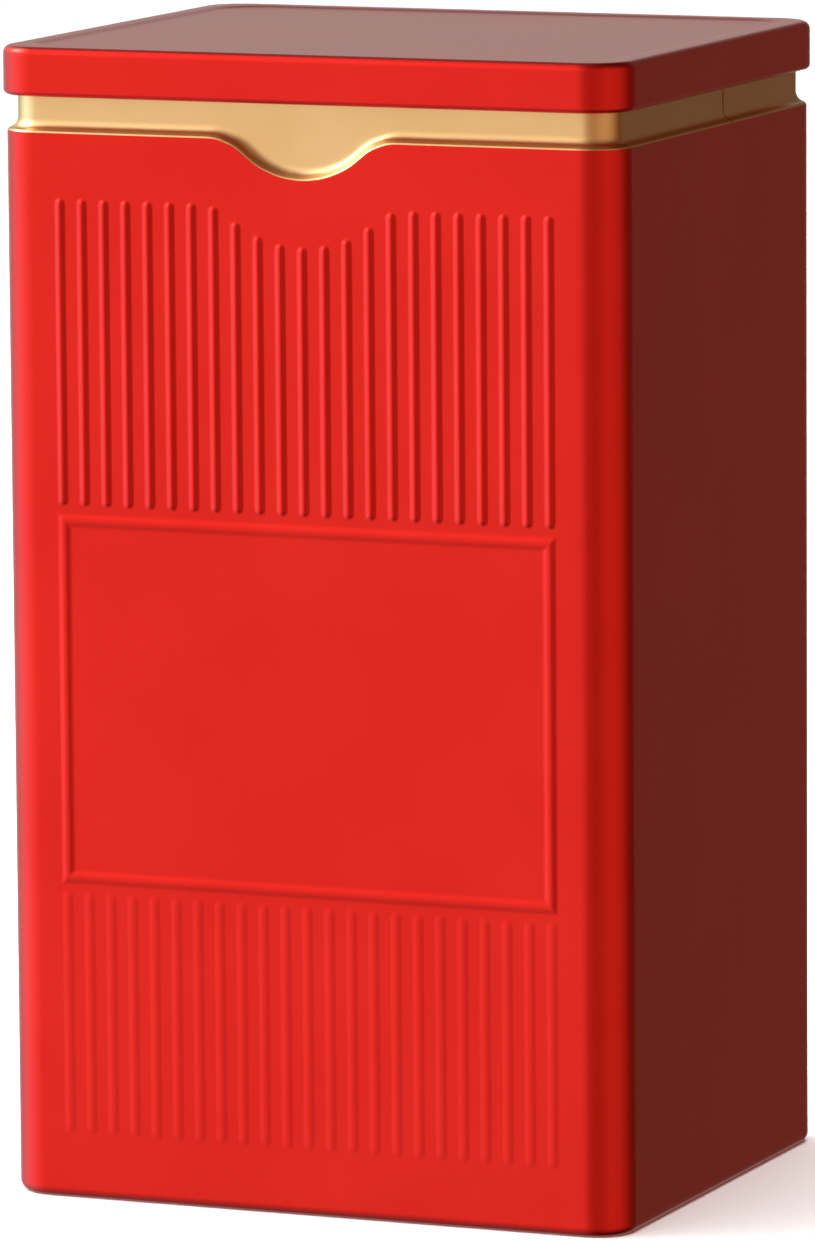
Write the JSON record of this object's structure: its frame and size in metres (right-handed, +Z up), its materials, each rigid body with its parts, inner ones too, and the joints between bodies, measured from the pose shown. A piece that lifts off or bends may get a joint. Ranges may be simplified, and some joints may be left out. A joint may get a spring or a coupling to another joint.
{
  "type": "lithographed tin",
  "caption": "Upright rectangular storage tin with a slip-over lid, a stepped neck with a thumb notch, and a front pressed with ribs and a raised panel frame.",
  "frame": {"origin": "middle of the tin's footprint, on the floor it stands on", "axes": "+Z up through the lid, the front with the thumb notch and the ribs looks along -Y, +X to the right of the front"},
  "size_m": [0.096, 0.081, 0.1655],
  "materials": {
    "red_lacquer": "satin transparent red lacquer over tinplate, gold lacquer on the neck, clear lacquer inside",
    "lid_lacquer": "satin transparent red lacquer over tinplate, clear lacquer inside",
    "plain_tinplate": "bright tinplate under clear lacquer"
  },
  "bodies": {
    "tin": {"body_wall": "red_lacquer", "base_end": "plain_tinplate"},
    "lid": {"lid": "lid_lacquer"}
  },
  "joints": [
    {"name": "lid_lift", "type": "slide", "parent": "tin", "child": "lid", "axis": [0, 0, 1], "range_m": [0, 0.08]}
  ]
}
